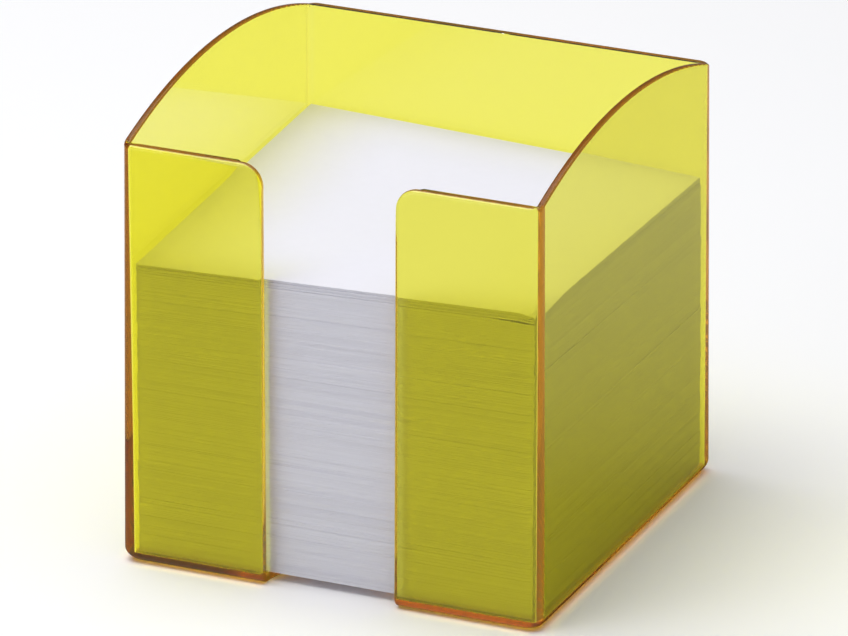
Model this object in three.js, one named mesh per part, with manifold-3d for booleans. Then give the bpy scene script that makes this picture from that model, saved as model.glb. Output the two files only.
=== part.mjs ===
// Open-topped note box with a stack of loose square note paper.
// Millimetres, +Z up. The origin is the middle of the box's footprint on the surface it stands on.
// The finger slot is in the front wall, which faces -Y; +X is to the right seen from the front.
import * as THREE from "three";
import { mergeVertices } from "three/addons/utils/BufferGeometryUtils.js";
import Module from "manifold-3d";

// ---- driving dimensions -------------------------------------------------------------------
const BOX_WIDTH = 96.6; // outside, along X, at the foot of the walls
const BOX_DEPTH = 97.2; // outside, along Y, at the foot of the walls
const DRAFT = 0.0081; // the outside comes in by this much per millimetre of height, on each side
const WALL_HEIGHT = 94.65; // front and back walls, and the ends of the side walls
const ARCH_HEIGHT = 102.5; // crown of the side walls
const BASE_THICKNESS = 1.875;
const INNER_HALF_BASE = 45.9; // half the width and depth of the space for the notes
const INNER_HALF_RIM = 45.95; // the space opens a little upward, so the moulding leaves its core
const EDGE_RADIUS = 3; // outside, along the bottom
const CORNER_RADIUS = 3; // outside, up the four corners, at the rim
const CORNER_RADIUS_FOOT = 3; // and at the foot of the walls
const CORNER_RADIUS_BOTTOM = 3;
const INNER_RADIUS = 0.6;

const SLOT_WIDTH = 30.2; // finger slot through the whole height of the front wall
const SLOT_CORNER = 5; // rounding of the two front panels beside the slot
const CUTOUT_DEPTH = 15.5; // round finger cut in the base, back from the front face

const NOTE = 90; // side of one note
const SHEET = 0.1; // thickness of one note
const GRID = 64; // levels lie on a grid of 1/64 mm, so faces that touch share one plane exactly

// Sheets in each flush run of the stack, from the bottom up: [sheets, offset x, offset y, turn in degrees]
const STACK = [
  [42, 0.02, 0.05, 0.03], [40, 0.1, 0.1, -0.04], [43, -0.04, 0.0, 0.05], [41, 0.06, 0.12, 0.02],
  [44, -0.08, 0.04, -0.05], [39, 0.04, -0.04, 0.06], [42, 0.12, 0.08, 0.0], [41, -0.02, 0.16, 0.04],
  [40, 0.08, -0.02, -0.06], [43, -0.06, 0.1, 0.05], [42, 0.1, 0.02, 0.08], [41, -0.02, -0.06, 0.04],
  [42, 0.08, 0.16, 0.12], [39, -0.1, 0.04, 0.06], [40, -0.04, 0.1, 0.14], [37, -0.1, 0.02, 0.18],
];
const LOOSE = [[7, -0.12, 0.02, 0.22], [5, -0.2, -0.04, 0.3], [4, -0.16, 0.06, 0.26]];
const TOP = [[1, -0.2, 0.0, 0.34], [1, -0.14, 0.08, 0.28], [1, -0.22, -0.04, 0.38]];

// ---- materials ----------------------------------------------------------------------------
const plastic = new THREE.MeshStandardMaterial({
  name: "clear_yellow_plastic", color: 0xe2e63a, roughness: 0.12, metalness: 0,
  transparent: true, opacity: 0.5, side: THREE.DoubleSide,
});
const paper = new THREE.MeshStandardMaterial({
  name: "note_paper", color: 0xf4f4f7, roughness: 0.92, metalness: 0,
});

// ---- solids -------------------------------------------------------------------------------
const wasm = await Module();
wasm.setup();

function solid(geometry) {
  const g = geometry.clone();
  g.deleteAttribute("normal");
  g.deleteAttribute("uv");
  const merged = mergeVertices(g, 1e-4);
  return new wasm.Manifold(new wasm.Mesh({
    numProp: 3,
    vertProperties: new Float32Array(merged.attributes.position.array),
    triVerts: new Uint32Array(merged.index.array),
  }));
}

function geometryOf(manifold) {
  const m = manifold.getMesh();
  const position = new Float32Array(m.numVert * 3);
  for (let i = 0; i < m.numVert; i++)
    position.set(m.vertProperties.subarray(i * m.numProp, i * m.numProp + 3), i * 3);
  const g = new THREE.BufferGeometry();
  g.setAttribute("position", new THREE.BufferAttribute(position, 3));
  g.setIndex(new THREE.BufferAttribute(new Uint32Array(m.triVerts), 1));
  g.computeVertexNormals();
  return g;
}

// Outline of a rectangle with round corners, anticlockwise, with a fixed number of points.
function outline(halfX, halfY, radius, steps = 8) {
  const points = [];
  const centres = [[1, 1, 0], [-1, 1, 1], [-1, -1, 2], [1, -1, 3]];
  for (const [sx, sy, quarter] of centres)
    for (let i = 0; i <= steps; i++) {
      const a = (quarter + i / steps) * (Math.PI / 2);
      points.push(new THREE.Vector2(
        sx * (halfX - radius) + radius * Math.cos(a),
        sy * (halfY - radius) + radius * Math.sin(a),
      ));
    }
  return points;
}

// Closed body through a pile of outlines with the same number of points.
function loft(levels) {
  const n = levels[0].points.length;
  const position = [];
  const index = [];
  for (const { z, points } of levels)
    for (const p of points) position.push(p.x, p.y, z);
  for (let k = 0; k < levels.length - 1; k++)
    for (let i = 0; i < n; i++) {
      const a = k * n + i, b = k * n + ((i + 1) % n);
      index.push(a, b, b + n, a, b + n, a + n);
    }
  const last = (levels.length - 1) * n;
  for (let i = 1; i < n - 1; i++) {
    index.push(0, i + 1, i);
    index.push(last, last + i, last + i + 1);
  }
  const g = new THREE.BufferGeometry();
  g.setAttribute("position", new THREE.Float32BufferAttribute(position, 3));
  g.setIndex(index);
  return g;
}

// ---- the moulded box ----------------------------------------------------------------------
const halfX = BOX_WIDTH / 2;
const halfY = BOX_DEPTH / 2;
const outX = (z) => halfX - DRAFT * z;
const outY = (z) => halfY - DRAFT * z;
const ABOVE = 112; // height that the raw body and its cutters reach, above the finished rim

function outerBody() {
  const levels = [];
  const steps = 8;
  for (let i = 0; i <= steps; i++) {
    const a = (i / steps) * (Math.PI / 2);
    const inset = EDGE_RADIUS * (1 - Math.sin(a));
    const share = inset / EDGE_RADIUS;
    const radius = CORNER_RADIUS_FOOT + (CORNER_RADIUS_BOTTOM - CORNER_RADIUS_FOOT) * share;
    const z = EDGE_RADIUS * (1 - Math.cos(a));
    levels.push({ z, points: outline(outX(z) - inset, outY(z) - inset, radius) });
  }
  levels.push({ z: ABOVE, points: outline(outX(ABOVE), outY(ABOVE), CORNER_RADIUS) });
  return loft(levels);
}

function cavity() {
  const at = (z) => {
    const t = (z - BASE_THICKNESS) / (WALL_HEIGHT - BASE_THICKNESS);
    const half = INNER_HALF_BASE + (INNER_HALF_RIM - INNER_HALF_BASE) * t;
    return { z, points: outline(half, half, INNER_RADIUS, 6) };
  };
  return loft([at(BASE_THICKNESS), at(ABOVE + 4)]);
}

// Everything above the rim: flat over the front and back walls, arched over the side walls.
function aboveRim() {
  const start = INNER_HALF_RIM;
  const rise = ARCH_HEIGHT - WALL_HEIGHT;
  const radius = (start * start + rise * rise) / (2 * rise);
  const centre = ARCH_HEIGHT - radius;
  const half = Math.asin(start / radius);
  const shape = new THREE.Shape();
  shape.moveTo(-halfY - 5, WALL_HEIGHT);
  shape.lineTo(-start, WALL_HEIGHT);
  const steps = 56;
  for (let i = 1; i <= steps; i++) {
    const a = -half + (2 * half * i) / steps;
    shape.lineTo(radius * Math.sin(a), i === steps ? WALL_HEIGHT : centre + radius * Math.cos(a));
  }
  shape.lineTo(halfY + 5, WALL_HEIGHT);
  shape.lineTo(halfY + 5, ABOVE + 8);
  shape.lineTo(-halfY - 5, ABOVE + 8);
  const g = new THREE.ExtrudeGeometry(shape, { depth: BOX_WIDTH + 10, bevelEnabled: false });
  // shape x -> Y, shape y -> Z, depth -> X
  g.applyMatrix4(new THREE.Matrix4().set(0, 0, 1, -halfX - 5, 1, 0, 0, 0, 0, 1, 0, 0, 0, 0, 0, 1));
  return g;
}

// The slot between the two front panels, whose inner top corners are rounded. It ends on the base.
function slot() {
  const h = SLOT_WIDTH / 2;
  const shape = new THREE.Shape();
  shape.moveTo(h, BASE_THICKNESS);
  shape.lineTo(h, WALL_HEIGHT - SLOT_CORNER);
  const steps = 14;
  for (let i = 1; i <= steps; i++) {
    const a = Math.PI - (i / steps) * (Math.PI / 2);
    shape.lineTo(h + SLOT_CORNER + SLOT_CORNER * Math.cos(a), WALL_HEIGHT - SLOT_CORNER + SLOT_CORNER * Math.sin(a));
  }
  shape.lineTo(h + SLOT_CORNER, WALL_HEIGHT + 4);
  shape.lineTo(-h - SLOT_CORNER, WALL_HEIGHT + 4);
  for (let i = 0; i <= steps; i++) {
    const a = Math.PI / 2 - (i / steps) * (Math.PI / 2);
    shape.lineTo(-h - SLOT_CORNER + SLOT_CORNER * Math.cos(a), WALL_HEIGHT - SLOT_CORNER + SLOT_CORNER * Math.sin(a));
  }
  shape.lineTo(-h, BASE_THICKNESS);
  const g = new THREE.ExtrudeGeometry(shape, { depth: 10, bevelEnabled: false });
  g.rotateX(Math.PI / 2); // shape y -> Z, depth -> -Y
  g.translate(0, -halfY + 4, 0);
  return g;
}

// Finger cut in the base, so a fingertip reaches under the stack: as wide as the slot through the
// thickness of the front wall, then round.
function baseCutout() {
  const h = SLOT_WIDTH / 2;
  const start = -INNER_HALF_BASE;
  const shape = new THREE.Shape();
  shape.moveTo(-h, -halfY - 5);
  shape.lineTo(h, -halfY - 5);
  shape.lineTo(h, start);
  const steps = 48;
  for (let i = 1; i < steps; i++) {
    const a = (i / steps) * Math.PI;
    shape.lineTo(h * Math.cos(a), start + (CUTOUT_DEPTH - (halfY + start)) * Math.sin(a));
  }
  shape.lineTo(-h, start);
  const g = new THREE.ExtrudeGeometry(shape, { depth: 5, bevelEnabled: false });
  g.translate(0, 0, -2);
  return g;
}

const boxShell = new THREE.Mesh(
  geometryOf(
    solid(outerBody())
      .subtract(solid(cavity()))
      .subtract(solid(aboveRim()))
      .subtract(solid(slot()))
      .subtract(solid(baseCutout())),
  ),
  plastic,
);
boxShell.name = "box_shell";

// ---- the loose paper ----------------------------------------------------------------------
let level = BASE_THICKNESS; // the stack rests on the base
function run(name, [sheets, dx, dy, turn]) {
  const top = Math.round((level + sheets * SHEET) * GRID) / GRID;
  const thickness = top - level;
  const g = new THREE.BoxGeometry(NOTE, NOTE, thickness);
  g.translate(0, 0, thickness / 2);
  const mesh = new THREE.Mesh(g, paper);
  mesh.name = name;
  mesh.position.set(dx, dy, level);
  mesh.rotation.z = THREE.MathUtils.degToRad(turn);
  level = top;
  return mesh;
}
const two = (i) => String(i + 1).padStart(2, "0");

const box = new THREE.Group();
box.add(boxShell);
const stack = new THREE.Group();
STACK.forEach((r, i) => stack.add(run("notes_run_" + two(i), r)));
const loose = new THREE.Group();
LOOSE.forEach((r, i) => loose.add(run("loose_notes_" + two(i), r)));
TOP.slice(0, -1).forEach((r, i) => loose.add(run("loose_sheet_" + two(i), r)));
const topSheet = new THREE.Group();
topSheet.add(run("top_sheet", TOP[TOP.length - 1]));

const noteBox = new THREE.Group();
noteBox.add(box, stack, loose, topSheet);
export default noteBox;
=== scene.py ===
import math

import bmesh
import bpy
import numpy as np
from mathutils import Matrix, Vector


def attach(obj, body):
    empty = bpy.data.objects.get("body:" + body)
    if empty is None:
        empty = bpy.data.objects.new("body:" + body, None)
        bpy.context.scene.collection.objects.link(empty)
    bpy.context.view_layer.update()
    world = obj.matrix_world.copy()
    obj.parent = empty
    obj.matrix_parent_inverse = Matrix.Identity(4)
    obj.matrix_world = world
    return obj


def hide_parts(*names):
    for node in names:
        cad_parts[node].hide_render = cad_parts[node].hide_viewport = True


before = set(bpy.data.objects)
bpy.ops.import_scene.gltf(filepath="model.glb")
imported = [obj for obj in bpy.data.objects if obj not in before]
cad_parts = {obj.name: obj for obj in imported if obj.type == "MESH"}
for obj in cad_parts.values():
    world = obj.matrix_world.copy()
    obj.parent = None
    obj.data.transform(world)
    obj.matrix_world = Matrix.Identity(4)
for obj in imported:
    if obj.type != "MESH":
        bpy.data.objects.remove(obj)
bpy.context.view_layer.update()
scene = bpy.context.scene
MM = 0.001

# ---- dimensions of the moulded box, in millimetres, as in the CAD model ----------------------
HALF_X = 48.3
HALF_Y = 48.6
DRAFT = 0.0081
WALL_HEIGHT = 94.65
ARCH_HEIGHT = 102.5
BASE = 1.875
INNER_HALF_BASE = 45.9
INNER_HALF_RIM = 45.95
EDGE_RADIUS = 3.0
CORNER_RADIUS = 3.0
CORNER_RADIUS_FOOT = 3.0
CORNER_RADIUS_BOTTOM = 3.0
INNER_RADIUS = 0.6
SLOT_HALF = 15.1
SLOT_CORNER = 5.0
CUTOUT_DEPTH = 15.5
RIM_FILLET = 0.9  # the rims of the front and back walls and the sides of the slot are nearly half-round
ARCH_FILLET = 0.5
EDGE_FILLET = 0.2
ABOVE = 112.0


# ---- small helpers ---------------------------------------------------------------------------
def new_object(name, vertices, faces):
    mesh = bpy.data.meshes.new(name)
    mesh.from_pydata(vertices, [], faces)
    mesh.update()
    obj = bpy.data.objects.new(name, mesh)
    scene.collection.objects.link(obj)
    return obj


def outline(half_x, half_y, radius, steps):
    """A rectangle with round corners, anticlockwise."""
    points = []
    for sx, sy, quarter in ((1, 1, 0), (-1, 1, 1), (-1, -1, 2), (1, -1, 3)):
        for i in range(steps + 1):
            a = (quarter + i / steps) * math.pi / 2
            points.append(
                (
                    sx * (half_x - radius) + radius * math.cos(a),
                    sy * (half_y - radius) + radius * math.sin(a),
                )
            )
    return points


def loft(name, levels):
    """A closed body through a pile of outlines with the same number of points."""
    n = len(levels[0][1])
    vertices = [(x, y, z) for z, points in levels for x, y in points]
    faces = []
    for k in range(len(levels) - 1):
        for i in range(n):
            a, b = k * n + i, k * n + (i + 1) % n
            faces.append((a, b, b + n, a + n))
    last = (len(levels) - 1) * n
    faces.append(tuple(reversed(range(n))))
    faces.append(tuple(range(last, last + n)))
    return new_object(name, vertices, faces)


def prism(name, points, axis, low, high):
    """A polygon swept along an axis: X takes (y, z) points, Y takes (x, z), Z takes (x, y)."""
    place = {
        "X": lambda p, t: (t, p[0], p[1]),
        "Y": lambda p, t: (p[0], t, p[1]),
        "Z": lambda p, t: (p[0], p[1], t),
    }[axis]
    n = len(points)
    vertices = [place(p, low) for p in points] + [place(p, high) for p in points]
    faces = [(i, (i + 1) % n, (i + 1) % n + n, i + n) for i in range(n)]
    faces += [tuple(reversed(range(n))), tuple(range(n, 2 * n))]
    obj = new_object(name, vertices, faces)
    bm = bmesh.new()
    bm.from_mesh(obj.data)
    bmesh.ops.recalc_face_normals(bm, faces=bm.faces)
    bm.to_mesh(obj.data)
    bm.free()
    return obj


def subtract(body, cutter):
    mod = body.modifiers.new("cut", "BOOLEAN")
    mod.operation = "DIFFERENCE"
    mod.object = cutter
    mod.solver = "EXACT"
    apply_modifiers(body)
    bpy.data.objects.remove(cutter)


def apply_modifiers(obj):
    dg = bpy.context.evaluated_depsgraph_get()
    mesh = bpy.data.meshes.new_from_object(obj.evaluated_get(dg))
    old = obj.data
    obj.modifiers.clear()
    obj.data = mesh
    bpy.data.meshes.remove(old)


def rest(obj, body, slot, *nodes):
    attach(obj, body)
    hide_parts(*nodes)


# ---- materials -------------------------------------------------------------------------------
class Nodes:
    """Short way to write a node tree."""

    def __init__(self, name):
        self.material = bpy.data.materials.new(name)
        self.material.use_nodes = True
        self.tree = self.material.node_tree
        self.tree.nodes.clear()

    def add(self, kind, **values):
        node = self.tree.nodes.new(kind)
        for key, value in values.items():
            if key in node.inputs:
                node.inputs[key].default_value = value
            else:
                setattr(node, key, value)
        return node

    def link(self, a, b):
        self.tree.links.new(a, b)


def plastic_material():
    n = Nodes("clear_yellow_plastic")
    out = n.add("ShaderNodeOutputMaterial")
    shader = n.add("ShaderNodeBsdfPrincipled")
    shader.inputs["Base Color"].default_value = (0.897, 0.884, 0.133, 1)
    shader.inputs["Metallic"].default_value = 0.0
    shader.inputs["IOR"].default_value = 1.5
    shader.inputs["Transmission Weight"].default_value = 1.0
    shader.inputs["Coat Weight"].default_value = 0.0
    coordinates = n.add("ShaderNodeTexCoord")
    # a faint, wide haze in the polish
    haze = n.add("ShaderNodeTexNoise", Scale=38.0, Detail=3.0, Roughness=0.55)
    n.link(coordinates.outputs["Object"], haze.inputs["Vector"])
    polish = n.add("ShaderNodeMapRange")
    polish.inputs["From Min"].default_value = 0.3
    polish.inputs["From Max"].default_value = 0.7
    polish.inputs["To Min"].default_value = 0.004
    polish.inputs["To Max"].default_value = 0.02
    n.link(haze.outputs["Fac"], polish.inputs["Value"])
    n.link(polish.outputs["Result"], shader.inputs["Roughness"])
    # the slight waviness of a moulded wall
    wave = n.add("ShaderNodeTexNoise", Scale=24.0, Detail=1.0, Roughness=0.4)
    n.link(coordinates.outputs["Object"], wave.inputs["Vector"])
    bump = n.add("ShaderNodeBump", Strength=0.02, Distance=0.0006)
    n.link(wave.outputs["Fac"], bump.inputs["Height"])
    n.link(bump.outputs["Normal"], shader.inputs["Normal"])
    n.link(shader.outputs["BSDF"], out.inputs["Surface"])
    # painted glow: the plastic gives off a little light of its own though it is no lamp; it adds up in light
    # that runs along inside the walls to the edges and lightens them
    shader.inputs["Emission Color"].default_value = (1.0, 0.86, 0.66, 1)
    shader.inputs["Emission Strength"].default_value = 0.01
    n.material.cycles.emission_sampling = "NONE"
    # the dye, in the mass: light that runs along inside the walls turns orange
    dye = n.add("ShaderNodeVolumeAbsorption")
    dye.inputs["Color"].default_value = (0.94, 0.855, 0.0, 1)
    dye.inputs["Density"].default_value = 100.0
    n.link(dye.outputs["Volume"], out.inputs["Volume"])
    return n.material


def paper_material():
    n = Nodes("note_paper")
    out = n.add("ShaderNodeOutputMaterial")
    shader = n.add("ShaderNodeBsdfPrincipled")
    shader.inputs["Specular IOR Level"].default_value = 0.25
    shader.inputs["Sheen Weight"].default_value = 0.0
    coordinates = n.add("ShaderNodeTexCoord")
    # cloudiness of the sheet
    cloud = n.add("ShaderNodeTexNoise", Scale=420.0, Detail=5.0, Roughness=0.6)
    n.link(coordinates.outputs["Object"], cloud.inputs["Vector"])
    # tone of each cut edge: it changes from sheet to sheet and hardly along the sheet
    squash = n.add("ShaderNodeMapping")
    squash.inputs["Scale"].default_value = (9.0, 9.0, 5200.0)
    n.link(coordinates.outputs["Object"], squash.inputs["Vector"])
    edges = n.add("ShaderNodeTexNoise", Scale=1.0, Detail=3.0, Roughness=0.7)
    n.link(squash.outputs["Vector"], edges.inputs["Vector"])
    geometry = n.add("ShaderNodeNewGeometry")
    parts = n.add("ShaderNodeSeparateXYZ")
    n.link(geometry.outputs["Normal"], parts.inputs["Vector"])
    upward = n.add("ShaderNodeMath", operation="ABSOLUTE")
    n.link(parts.outputs["Z"], upward.inputs[0])
    on_edge = n.add("ShaderNodeMapRange")
    on_edge.inputs["From Min"].default_value = 0.2
    on_edge.inputs["From Max"].default_value = 0.8
    on_edge.inputs["To Min"].default_value = 1.0
    on_edge.inputs["To Max"].default_value = 0.0
    n.link(upward.outputs["Value"], on_edge.inputs["Value"])
    tone = n.add("ShaderNodeMapRange")
    tone.inputs["From Min"].default_value = 0.25
    tone.inputs["From Max"].default_value = 0.75
    tone.inputs["To Min"].default_value = 0.93
    tone.inputs["To Max"].default_value = 1.02
    n.link(edges.outputs["Fac"], tone.inputs["Value"])
    face_tone = n.add("ShaderNodeMapRange")
    face_tone.inputs["From Min"].default_value = 0.3
    face_tone.inputs["From Max"].default_value = 0.7
    face_tone.inputs["To Min"].default_value = 0.985
    face_tone.inputs["To Max"].default_value = 1.0
    n.link(cloud.outputs["Fac"], face_tone.inputs["Value"])
    which = n.add("ShaderNodeMix", data_type="FLOAT")
    n.link(on_edge.outputs["Result"], which.inputs[0])
    n.link(face_tone.outputs["Result"], which.inputs[2])
    n.link(tone.outputs["Result"], which.inputs[3])
    colour = n.add("ShaderNodeMix", data_type="RGBA", blend_type="MULTIPLY")
    colour.inputs[0].default_value = 1.0
    colour.inputs[6].default_value = (0.815, 0.812, 0.878, 1)
    n.link(which.outputs[0], colour.inputs[7])
    n.link(colour.outputs[2], shader.inputs["Base Color"])
    rough = n.add("ShaderNodeMapRange")
    rough.inputs["From Min"].default_value = 0.3
    rough.inputs["From Max"].default_value = 0.7
    rough.inputs["To Min"].default_value = 0.78
    rough.inputs["To Max"].default_value = 0.92
    n.link(cloud.outputs["Fac"], rough.inputs["Value"])
    n.link(rough.outputs["Result"], shader.inputs["Roughness"])
    # fibres
    fibre_map = n.add("ShaderNodeMapping")
    fibre_map.inputs["Scale"].default_value = (1.0, 2.6, 1.0)
    n.link(coordinates.outputs["Object"], fibre_map.inputs["Vector"])
    fibre = n.add("ShaderNodeTexNoise", Scale=2600.0, Detail=4.0, Roughness=0.65)
    n.link(fibre_map.outputs["Vector"], fibre.inputs["Vector"])
    bump = n.add("ShaderNodeBump", Strength=0.18, Distance=0.00003)
    n.link(fibre.outputs["Fac"], bump.inputs["Height"])
    n.link(bump.outputs["Normal"], shader.inputs["Normal"])
    n.link(shader.outputs["BSDF"], out.inputs["Surface"])
    return n.material


PLASTIC = plastic_material()
PAPER = paper_material()


# ---- the moulded box -------------------------------------------------------------------------
def fillet_at(p):
    """Radius of the rounding on a sharp edge of the moulding."""
    if p.y < -INNER_HALF_BASE + 0.1 and abs(p.x) < SLOT_HALF + SLOT_CORNER + 0.1 and p.z > 0.3:
        # less round where the slot runs out into the edge along the bottom
        return RIM_FILLET * min(0.25 + 0.1 * p.z, 1.0)
    if p.z > WALL_HEIGHT - 0.05:
        if abs(p.x) < INNER_HALF_RIM - 1.0 and abs(p.y) > INNER_HALF_RIM - 0.1:
            return RIM_FILLET
        # the flat rims run into the arches round the corners
        past = (INNER_HALF_RIM + 0.2 - abs(p.y)) / 1.4
        past = min(max(past + 0.5, 0.0), 1.0)
        return RIM_FILLET + (ARCH_FILLET - RIM_FILLET) * past
    return EDGE_FILLET


def outside(p):
    """Whether a point lies outside the moulding's rounded foot or below the surface it stands on."""
    if p.z < -0.005:
        return True
    drop = max(EDGE_RADIUS - p.z, 0.0)
    inset = EDGE_RADIUS - math.sqrt(max(EDGE_RADIUS**2 - drop**2, 0.0)) - 0.02
    return p.z < EDGE_RADIUS and (abs(p.x) > HALF_X - inset or abs(p.y) > HALF_Y - inset)


def make_box():
    levels = []
    steps = 12
    for i in range(steps + 1):
        a = i / steps * math.pi / 2
        inset = EDGE_RADIUS * (1 - math.sin(a))
        share = inset / EDGE_RADIUS
        radius = CORNER_RADIUS_FOOT + (CORNER_RADIUS_BOTTOM - CORNER_RADIUS_FOOT) * share
        z = EDGE_RADIUS * (1 - math.cos(a))
        inset += DRAFT * z
        levels.append((z, outline(HALF_X - inset, HALF_Y - inset, radius, 12)))
    inset = DRAFT * ABOVE
    levels.append((ABOVE, outline(HALF_X - inset, HALF_Y - inset, CORNER_RADIUS, 12)))
    body = loft("box_moulding", levels)

    inner = []
    for z in (BASE, ABOVE + 4):
        t = (z - BASE) / (WALL_HEIGHT - BASE)
        half = INNER_HALF_BASE + (INNER_HALF_RIM - INNER_HALF_BASE) * t
        inner.append((z, outline(half, half, INNER_RADIUS, 10)))
    subtract(body, loft("cavity", inner))

    start = INNER_HALF_RIM
    rise = ARCH_HEIGHT - WALL_HEIGHT
    radius = (start * start + rise * rise) / (2 * rise)
    centre = ARCH_HEIGHT - radius
    half = math.asin(start / radius)
    shape = [(-HALF_Y - 5, WALL_HEIGHT), (-start, WALL_HEIGHT)]
    steps = 96
    for i in range(1, steps + 1):
        a = -half + 2 * half * i / steps
        z = WALL_HEIGHT if i == steps else centre + radius * math.cos(a)
        shape.append((radius * math.sin(a), z))
    shape += [(HALF_Y + 5, WALL_HEIGHT), (HALF_Y + 5, ABOVE + 8), (-HALF_Y - 5, ABOVE + 8)]
    subtract(body, prism("above_rim", shape, "X", -HALF_X - 5, HALF_X + 5))

    h, r = SLOT_HALF, SLOT_CORNER
    shape = [(h, BASE), (h, WALL_HEIGHT - r)]
    steps = 20
    for i in range(1, steps + 1):
        a = math.pi - i / steps * math.pi / 2
        shape.append((h + r + r * math.cos(a), WALL_HEIGHT - r + r * math.sin(a)))
    shape += [(h + r, WALL_HEIGHT + 14), (-h - r, WALL_HEIGHT + 14)]
    for i in range(steps + 1):
        a = math.pi / 2 - i / steps * math.pi / 2
        shape.append((-h - r + r * math.cos(a), WALL_HEIGHT - r + r * math.sin(a)))
    shape.append((-h, BASE))
    subtract(body, prism("slot", shape, "Y", -HALF_Y - 6, -HALF_Y + 4))

    start = -INNER_HALF_BASE
    depth = CUTOUT_DEPTH - (HALF_Y + start)
    shape = [(-h, -HALF_Y - 5), (h, -HALF_Y - 5), (h, start)]
    steps = 64
    for i in range(1, steps):
        a = i / steps * math.pi
        shape.append((h * math.cos(a), start + depth * math.sin(a)))
    shape.append((-h, start))
    subtract(body, prism("base_cut", shape, "Z", -2, 3))

    bm = bmesh.new()
    bm.from_mesh(body.data)
    bmesh.ops.remove_doubles(bm, verts=bm.verts, dist=1e-4)
    bmesh.ops.dissolve_limit(
        bm, angle_limit=math.radians(0.08), use_dissolve_boundaries=False,
        verts=bm.verts, edges=bm.edges,
    )
    bm.normal_update()
    share = bm.edges.layers.float.new("bevel_weight_edge")
    for e in bm.edges:
        if len(e.link_faces) == 2 and e.calc_face_angle(0) > math.radians(40):
            e[share] = fillet_at((e.verts[0].co + e.verts[1].co) / 2) / RIM_FILLET
    bm.to_mesh(body.data)
    bm.free()
    rounding = body.modifiers.new("rounding", "BEVEL")
    rounding.limit_method = "WEIGHT"
    rounding.width = RIM_FILLET
    rounding.segments = 5
    rounding.use_clamp_overlap = False
    rounding.miter_outer = "MITER_SHARP"
    apply_modifiers(body)

    bm = bmesh.new()
    bm.from_mesh(body.data)
    bmesh.ops.remove_doubles(bm, verts=bm.verts, dist=1e-4)
    bmesh.ops.holes_fill(bm, edges=[e for e in bm.edges if e.is_boundary], sides=0)
    # the rounding throws a few points out where the slot meets the foot: they go back between
    # their neighbours
    stray = [v for v in bm.verts if outside(v.co)]
    for _ in range(4):
        for v in stray:
            good = [e.other_vert(v).co for e in v.link_edges if not outside(e.other_vert(v).co)]
            if good:
                v.co = sum(good, Vector()) / len(good)
    bmesh.ops.remove_doubles(bm, verts=bm.verts, dist=1e-4)
    bmesh.ops.triangulate(bm, faces=[f for f in bm.faces if len(f.verts) > 4], ngon_method="BEAUTY")
    bmesh.ops.recalc_face_normals(bm, faces=bm.faces)
    for f in bm.faces:
        f.smooth = True
    bmesh.ops.scale(bm, vec=(MM, MM, MM), verts=bm.verts)
    print("box: points put back", len(stray))
    open_edges = sum(1 for e in bm.edges if len(e.link_faces) != 2)
    print("box: faces", len(bm.faces), "open edges", open_edges, "volume mm3", bm.calc_volume() * 1e9)
    bm.to_mesh(body.data)
    bm.free()
    body.data.materials.clear()
    body.data.materials.append(PLASTIC)
    even = body.modifiers.new("even_normals", "WEIGHTED_NORMAL")
    even.mode = "FACE_AREA"
    even.weight = 100
    even.keep_sharp = False
    rest(body, "box", "clear_yellow_plastic", "box_shell")
    return body


box_piece = make_box()

# ---- the loose paper -------------------------------------------------------------------------
RUNS = [f"notes_run_{i:02d}" for i in range(1, 17)]
LOOSE = ["loose_notes_01", "loose_notes_02", "loose_notes_03", "loose_sheet_01", "loose_sheet_02"]
TOP = "top_sheet"
rng = np.random.default_rng(20)


def cad_run(node):
    """Centre, turn, lowest and highest level of a CAD run of paper, in millimetres."""
    co = np.array([v.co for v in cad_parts[node].data.vertices]) / MM
    low, high = co[:, 2].min(), co[:, 2].max()
    centre = (co.min(0) + co.max(0))[:2] / 2
    corner = co[np.argmax(co[:, 0] + co[:, 1])][:2] - centre
    turn = math.atan2(corner[1], corner[0]) - math.pi / 4
    return centre, turn, low, high


def smooth(t):
    t = np.clip(t, 0, 1)
    return t * t * (3 - 2 * t)


def twist(x, y, level):
    """How far the paper at this level lies above or below flat: the top of the stack is warped."""
    u, v = x / 45, y / 45
    amount = smooth((level - 22) / 46)
    return amount * (0.26 - 0.12 * u + 0.62 * v - 1.57 * u * v)


def curl(x, y, level):
    """The front right corner of the uppermost sheets bends down."""
    u = np.clip((x - 42.2) / 2.8, 0, 1)
    v = np.clip((-y - 30.0) / 15.0, 0, 1)
    return -1.15 * u * u * v * smooth((level - 66.0) / 3.0)


def height(x, y, level):
    return level + twist(x, y, level) + curl(x, y, level)


CUTS = 8


def sheet_grid(n=CUTS):
    t = np.linspace(-1, 1, n + 1)
    # more lines near the edges, where the curl is
    t = np.sign(t) * np.abs(t) ** (0.8 if n == CUTS else 0.4)
    gx, gy = np.meshgrid(t * 45, t * 45, indexing="ij")
    return gx.ravel(), gy.ravel()


def sheet_faces(n, base):
    """Top, bottom and the four edges of one sheet. Top vertices come first, then the bottom ones."""
    m = (n + 1) * (n + 1)
    at = lambda i, j: base + i * (n + 1) + j
    faces = []
    for i in range(n):
        for j in range(n):
            a, b, c, d = at(i, j), at(i + 1, j), at(i + 1, j + 1), at(i, j + 1)
            faces.append((a, b, c, d))
            faces.append((d + m, c + m, b + m, a + m))
    ring = [at(i, 0) for i in range(n)] + [at(n, j) for j in range(n)]
    ring += [at(i, n) for i in range(n, 0, -1)] + [at(0, j) for j in range(n, 0, -1)]
    for k in range(len(ring)):
        a, b = ring[k], ring[(k + 1) % len(ring)]
        faces.append((a, a + m, b + m, b))
    return faces


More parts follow.
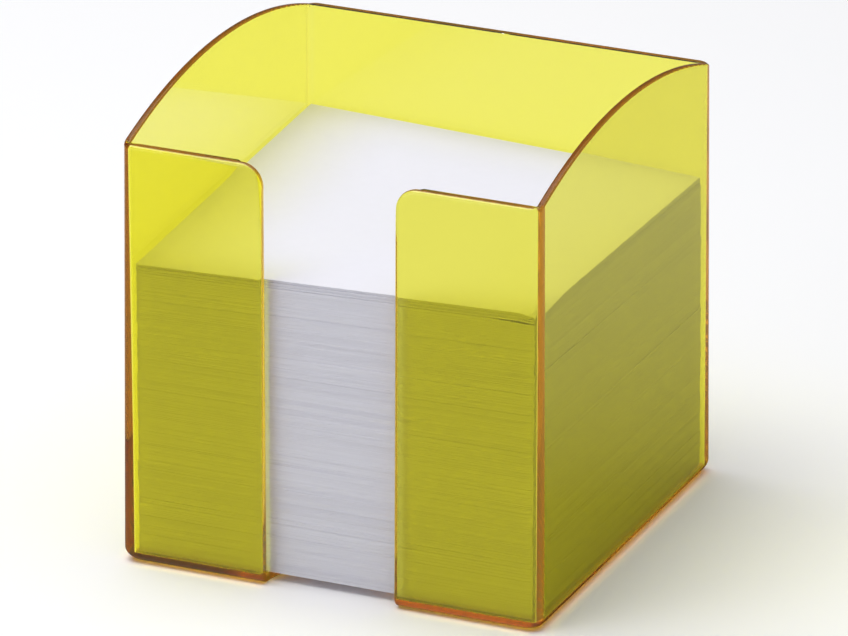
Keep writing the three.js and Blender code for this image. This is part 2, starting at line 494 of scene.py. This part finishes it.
def wander(count, spans):
    """Offsets that change on several scales: each span is (typical run of sheets, size in mm)."""
    out = np.zeros((count, 2))
    for length, size in spans:
        k = 0
        value = rng.normal(0, size, 2)
        while k < count:
            run = 1 if length <= 1 else max(1, int(rng.exponential(length)))
            out[k : k + run] += value
            k += run
            value = rng.normal(0, size, 2)
    return out


def make_run(node, body, n_sheets=None, cuts=CUTS, spans=((1, 0.022), (3, 0.024), (9, 0.02)), groove=0.0):
    centre, turn, low, high = cad_run(node)
    count = n_sheets or max(1, round((high - low) / 0.1))
    gx, gy = sheet_grid(cuts)
    offsets = wander(count, spans)
    vertices, faces = [], []
    thickness = (high - low) / count
    middle = centre * (0.6 if count > 20 else 1.0)
    for k in range(count):
        z0, z1 = low + k * thickness, low + (k + 1) * thickness
        a = turn + math.radians(rng.normal(0, 0.012))
        dx, dy = middle + offsets[k]
        # the lowest sheet of a loose run lies a little further in, which shows as a dark line
        size = 1 - groove / 45 if k == 0 and count > 1 else 1
        x = dx + size * (gx * math.cos(a) - gy * math.sin(a))
        y = dy + size * (gx * math.sin(a) + gy * math.cos(a))
        top = height(x, y, np.full_like(x, z1)) - 0.004
        bottom = height(x, y, np.full_like(x, z0)) + 0.004
        base = len(vertices)
        vertices += list(zip(x, y, top)) + list(zip(x, y, bottom))
        faces += sheet_faces(cuts, base)
    vertices = [(x * MM, y * MM, z * MM) for x, y, z in vertices]
    piece = new_object("paper_" + node, vertices, faces)
    piece.data.materials.append(PAPER)
    rest(piece, body, "note_paper", node)
    return piece


for node in RUNS:
    make_run(node, "note_stack")
for node in LOOSE:
    make_run(node, "loose_notes", cuts=24, spans=((1, 0.05),), groove=0.16)
make_run(TOP, "top_note", cuts=24, spans=((1, 0.02),))

# ---- floor, light and camera -----------------------------------------------------------------
def floor_material():
    n = Nodes("pale_floor")
    out = n.add("ShaderNodeOutputMaterial")
    shader = n.add("ShaderNodeBsdfPrincipled", Roughness=0.75)
    shader.inputs["Base Color"].default_value = (0.955, 0.957, 0.97, 1)
    shader.inputs["Specular IOR Level"].default_value = 0.1
    n.link(shader.outputs["BSDF"], out.inputs["Surface"])
    return n.material


floor = new_object(
    "floor", [(-4, -4, -0.0001), (4, -4, -0.0001), (4, 4, -0.0001), (-4, 4, -0.0001)], [(0, 1, 2, 3)]
)
floor.data.materials.append(floor_material())
floor.visible_glossy = False  # the walls mirror the grey ground of the world instead


def softbox(name, place, target, size, power, colour=(1, 1, 1)):
    light = bpy.data.lights.new(name, "AREA")
    light.shape = "RECTANGLE"
    light.size, light.size_y = size
    light.energy = power
    light.color = colour
    obj = bpy.data.objects.new(name, light)
    scene.collection.objects.link(obj)
    obj.location = place
    aim = Vector(target) - Vector(place)
    obj.rotation_mode = "QUATERNION"
    obj.rotation_quaternion = aim.to_track_quat("-Z", "Y")
    return obj


softbox("overhead_softbox", (-0.34, -0.12, 1.15), (0, 0, 0.05), (1.0, 1.0), 8.6)
softbox("front_softbox", (-0.72, -1.05, 0.36), (0, 0, 0.03), (0.7, 0.5), 2.0)

world = bpy.data.worlds.new("studio")
world.use_nodes = True
background = world.node_tree.nodes["Background"]
direction = world.node_tree.nodes.new("ShaderNodeTexCoord")
split = world.node_tree.nodes.new("ShaderNodeSeparateXYZ")
# overhead it is a wide soft dome, near the horizon the room is dark, and the ground is grey
dome = world.node_tree.nodes.new("ShaderNodeValToRGB")
dome.color_ramp.interpolation = "LINEAR"
stops = ((0.0, 0.25), (0.49, 0.25), (0.5, 0.04), (0.84, 0.04), (0.9, 1.2), (1.0, 1.2))
while len(dome.color_ramp.elements) < len(stops):
    dome.color_ramp.elements.new(0.5)
for element, (at, value) in zip(dome.color_ramp.elements, stops):
    element.position = at
    element.color = (value, value, value * 1.01, 1)
# behind the box the ground that its side wall mirrors falls off into the shadow
shade = world.node_tree.nodes.new("ShaderNodeValToRGB")
shade.color_ramp.interpolation = "LINEAR"
far_stops = (
    (0.0, 0.0), (0.304, 0.0), (0.3195, 0.43), (0.34, 0.43), (0.38, 0.25), (0.5, 0.04), (0.84, 0.04), (0.9, 1.2),
    (1.0, 1.2),
)
while len(shade.color_ramp.elements) < len(far_stops):
    shade.color_ramp.elements.new(0.5)
for element, (at, value) in zip(shade.color_ramp.elements, far_stops):
    element.position = at
    element.color = (value, value, value * 1.01, 1)
half = world.node_tree.nodes.new("ShaderNodeMapRange")
half.inputs["From Min"].default_value = -1.0
far = world.node_tree.nodes.new("ShaderNodeMapRange")
far.inputs["From Min"].default_value = 0.2
far.inputs["From Max"].default_value = 0.6
ground = world.node_tree.nodes.new("ShaderNodeMixRGB")
for a, b in (
    (direction.outputs["Generated"], split.inputs[0]), (split.outputs["Z"], half.inputs["Value"]),
    (half.outputs["Result"], dome.inputs["Fac"]), (half.outputs["Result"], shade.inputs["Fac"]),
    (split.outputs["Y"], far.inputs["Value"]), (far.outputs["Result"], ground.inputs["Fac"]),
    (dome.outputs["Color"], ground.inputs["Color1"]), (shade.outputs["Color"], ground.inputs["Color2"]),
    (ground.outputs["Color"], background.inputs["Color"]),
):
    world.node_tree.links.new(a, b)
background.inputs["Strength"].default_value = 1.0
scene.world = world

AZIMUTH, ELEVATION = math.radians(23.5625), math.radians(22.1181)
back = Vector(
    (
        math.sin(AZIMUTH) * math.cos(ELEVATION),
        -math.cos(AZIMUTH) * math.cos(ELEVATION),
        math.sin(ELEVATION),
    )
)
right = Vector((math.cos(AZIMUTH), math.sin(AZIMUTH), 0))
up = back.cross(right)
camera_data = bpy.data.cameras.new("camera")
camera_data.sensor_fit = "HORIZONTAL"
camera_data.sensor_width = 36.0
camera_data.lens = 8700.57 * 36.0 / 848.0
camera_data.clip_start, camera_data.clip_end = 0.1, 50.0
camera = bpy.data.objects.new("camera", camera_data)
scene.collection.objects.link(camera)
camera.location = Vector((0, 0, 0.050526)) + back * 1.85343 + right * 0.000813 - up * 0.0047051
camera.rotation_mode = "QUATERNION"
camera.rotation_quaternion = (-back).to_track_quat("-Z", "Y")
scene.camera = camera

scene.view_settings.view_transform = "Standard"
scene.view_settings.look = "None"
cycles = scene.cycles
cycles.max_bounces = 64
cycles.transmission_bounces = 64
cycles.glossy_bounces = 64
cycles.diffuse_bounces = 6
cycles.transparent_max_bounces = 16
cycles.volume_bounces = 0
cycles.caustics_reflective = False
cycles.caustics_refractive = True
cycles.blur_glossy = 0.0
cycles.sample_clamp_direct = 0.0
cycles.sample_clamp_indirect = 8.0
cycles.use_denoising = True
cycles.denoiser = "OPENIMAGEDENOISE"
cycles.denoising_input_passes = "RGB_ALBEDO_NORMAL"
